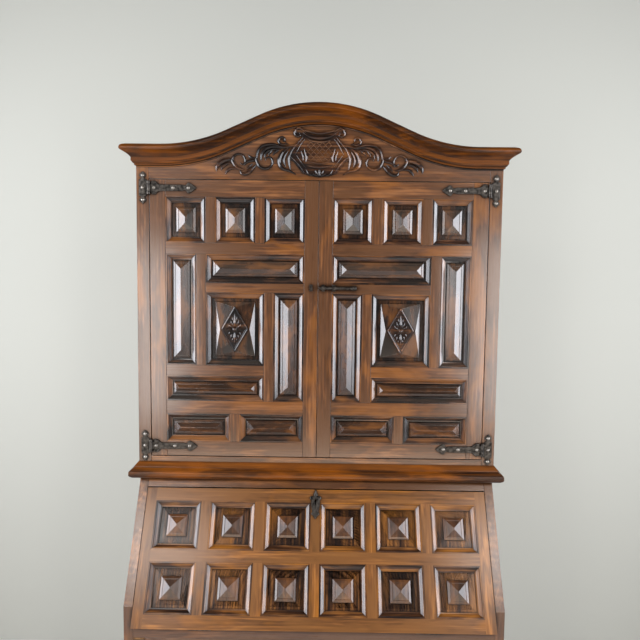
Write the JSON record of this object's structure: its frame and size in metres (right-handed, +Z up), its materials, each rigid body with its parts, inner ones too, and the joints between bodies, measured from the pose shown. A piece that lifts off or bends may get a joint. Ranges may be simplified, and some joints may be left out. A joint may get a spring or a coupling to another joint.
{
  "type": "bureau cabinet",
  "caption": "Tall walnut bureau cabinet: arched carved cornice, coffered doors on iron strap hinges, and a coffered slant fall over long drawers.",
  "frame": {"origin": "on the floor, in the middle of the bounding box's footprint", "axes": "+Z up, +X to the right seen from the front, the doors and drawers face -Y"},
  "size_m": [1.072, 0.49, 2.1227],
  "materials": {
    "walnut_side_boards": "dark red-brown stained walnut, satin wax",
    "walnut_boards": "dark red-brown stained walnut, satin wax",
    "walnut_mouldings_run": "walnut run mouldings, rubbed to a satin polish",
    "walnut_turned": "turned walnut, satin wax",
    "walnut_carved": "carved walnut, dark in the hollows and rubbed on the crests",
    "walnut_framing": "walnut stiles and rails, blotchy red-brown stain under wax",
    "walnut_panels": "walnut raised panels, darker stain under wax",
    "walnut_coffer_mouldings": "mitred walnut mouldings, satin wax",
    "walnut_drawer_fronts": "walnut drawer fronts, satin wax",
    "pine_inner_boards": "plain sawn softwood, unpolished",
    "forged_iron": "hammered black iron, worn bright on high spots",
    "forged_iron_lock": "plain filed iron"
  },
  "bodies": {
    "cabinet": {"lower_side_left": "walnut_side_boards", "lower_side_right": "walnut_side_boards", "lower_back": "pine_inner_boards", "desk_top_board": "walnut_boards", "slope_rail": "walnut_boards", "desk_floor": "walnut_boards", "drawer_rails": "walnut_boards", "drawer_runners": "pine_inner_boards", "plinth_moulding": "walnut_mouldings_run", "bun_feet": "walnut_turned", "gallery_case": "walnut_boards", "waist_moulding": "walnut_mouldings_run", "upper_side_left": "walnut_side_boards", "upper_side_right": "walnut_side_boards", "upper_back": "pine_inner_boards", "upper_floor_board": "walnut_boards", "upper_top_board": "walnut_boards", "upper_shelves": "walnut_boards", "face_frame": "walnut_boards", "frieze_board": "walnut_boards", "cornice": "walnut_mouldings_run", "pediment_carving": "walnut_carved", "fixed_hinge_leaves": "forged_iron"},
    "door_left": {"door_left_frame": "walnut_framing", "door_left_panels": "walnut_panels", "door_left_mouldings": "walnut_coffer_mouldings", "door_left_rosette": "walnut_carved", "door_left_ironwork": "forged_iron"},
    "door_right": {"door_right_frame": "walnut_framing", "door_right_panels": "walnut_panels", "door_right_mouldings": "walnut_coffer_mouldings", "door_right_rosette": "walnut_carved", "door_right_ironwork": "forged_iron"},
    "door_bolt": {"door_bolt_rod": "forged_iron"},
    "fall": {"fall_frame": "walnut_framing", "fall_panels": "walnut_panels", "fall_mouldings": "walnut_coffer_mouldings", "fall_escutcheon": "forged_iron", "fall_lock_case": "forged_iron_lock", "fall_hinge_flaps": "forged_iron_lock"},
    "fall_bolt": {"fall_lock_bolt": "forged_iron_lock"},
    "loper_left": {"loper_left": "walnut_boards"},
    "loper_right": {"loper_right": "walnut_boards"},
    "gallery_drawer_left": {"gallery_drawer_left": "walnut_boards"},
    "gallery_drawer_right": {"gallery_drawer_right": "walnut_boards"},
    "drawer_bottom": {"drawer_bottom_front": "walnut_drawer_fronts", "drawer_bottom_box": "pine_inner_boards", "drawer_bottom_pull_plates": "forged_iron"},
    "drawer_bottom_drop_left": {"drawer_bottom_drop_left": "forged_iron"},
    "drawer_bottom_drop_right": {"drawer_bottom_drop_right": "forged_iron"},
    "drawer_middle": {"drawer_middle_front": "walnut_drawer_fronts", "drawer_middle_box": "pine_inner_boards", "drawer_middle_pull_plates": "forged_iron"},
    "drawer_middle_drop_left": {"drawer_middle_drop_left": "forged_iron"},
    "drawer_middle_drop_right": {"drawer_middle_drop_right": "forged_iron"},
    "drawer_top": {"drawer_top_front": "walnut_drawer_fronts", "drawer_top_box": "pine_inner_boards", "drawer_top_pull_plates": "forged_iron"},
    "drawer_top_drop_left": {"drawer_top_drop_left": "forged_iron"},
    "drawer_top_drop_right": {"drawer_top_drop_right": "forged_iron"}
  },
  "joints": [
    {"name": "door_left_hinge", "type": "hinge", "parent": "cabinet", "child": "door_left", "pos_m": [-0.465, -0.06539, 1.53374], "axis": [0, 0, -1], "range_deg": [0, 110]},
    {"name": "door_right_hinge", "type": "hinge", "parent": "cabinet", "child": "door_right", "pos_m": [0.465, -0.06539, 1.53374], "axis": [0, 0, 1], "range_deg": [0, 110]},
    {"name": "door_bolt_slide", "type": "slide", "parent": "door_right", "child": "door_bolt", "axis": [-1, 0, 0], "range_m": [0, 0.034]},
    {"name": "fall_hinge", "type": "hinge", "parent": "cabinet", "child": "fall", "pos_m": [0, -0.2156, 0.73], "axis": [1, 0, 0], "range_deg": [0, 119.6]},
    {"name": "fall_lock_slide", "type": "slide", "parent": "fall", "child": "fall_bolt", "axis": [0, 0.4939, 0.8695], "range_m": [0, 0.008]},
    {"name": "loper_left_slide", "type": "slide", "parent": "cabinet", "child": "loper_left", "axis": [0, -1, 0], "range_m": [0, 0.25]},
    {"name": "loper_right_slide", "type": "slide", "parent": "cabinet", "child": "loper_right", "axis": [0, -1, 0], "range_m": [0, 0.25]},
    {"name": "gallery_drawer_left_slide", "type": "slide", "parent": "cabinet", "child": "gallery_drawer_left", "axis": [0, -1, 0], "range_m": [0, 0.12]},
    {"name": "gallery_drawer_right_slide", "type": "slide", "parent": "cabinet", "child": "gallery_drawer_right", "axis": [0, -1, 0], "range_m": [0, 0.12]},
    {"name": "drawer_bottom_slide", "type": "slide", "parent": "cabinet", "child": "drawer_bottom", "axis": [0, -1, 0], "range_m": [0, 0.3]},
    {"name": "drawer_bottom_drop_left_swing", "type": "hinge", "parent": "drawer_bottom", "child": "drawer_bottom_drop_left", "pos_m": [-0.2319, -0.228, 0.22542], "axis": [-1, 0, 0], "range_deg": [0, 75]},
    {"name": "drawer_bottom_drop_right_swing", "type": "hinge", "parent": "drawer_bottom", "child": "drawer_bottom_drop_right", "pos_m": [0.2319, -0.228, 0.22542], "axis": [-1, 0, 0], "range_deg": [0, 75]},
    {"name": "drawer_middle_slide", "type": "slide", "parent": "cabinet", "child": "drawer_middle", "axis": [0, -1, 0], "range_m": [0, 0.3]},
    {"name": "drawer_middle_drop_left_swing", "type": "hinge", "parent": "drawer_middle", "child": "drawer_middle_drop_left", "pos_m": [-0.2319, -0.228, 0.39825], "axis": [-1, 0, 0], "range_deg": [0, 75]},
    {"name": "drawer_middle_drop_right_swing", "type": "hinge", "parent": "drawer_middle", "child": "drawer_middle_drop_right", "pos_m": [0.2319, -0.228, 0.39825], "axis": [-1, 0, 0], "range_deg": [0, 75]},
    {"name": "drawer_top_slide", "type": "slide", "parent": "cabinet", "child": "drawer_top", "axis": [0, -1, 0], "range_m": [0, 0.3]},
    {"name": "drawer_top_drop_left_swing", "type": "hinge", "parent": "drawer_top", "child": "drawer_top_drop_left", "pos_m": [-0.2319, -0.228, 0.57108], "axis": [-1, 0, 0], "range_deg": [0, 75]},
    {"name": "drawer_top_drop_right_swing", "type": "hinge", "parent": "drawer_top", "child": "drawer_top_drop_right", "pos_m": [0.2319, -0.228, 0.57108], "axis": [-1, 0, 0], "range_deg": [0, 75]}
  ]
}
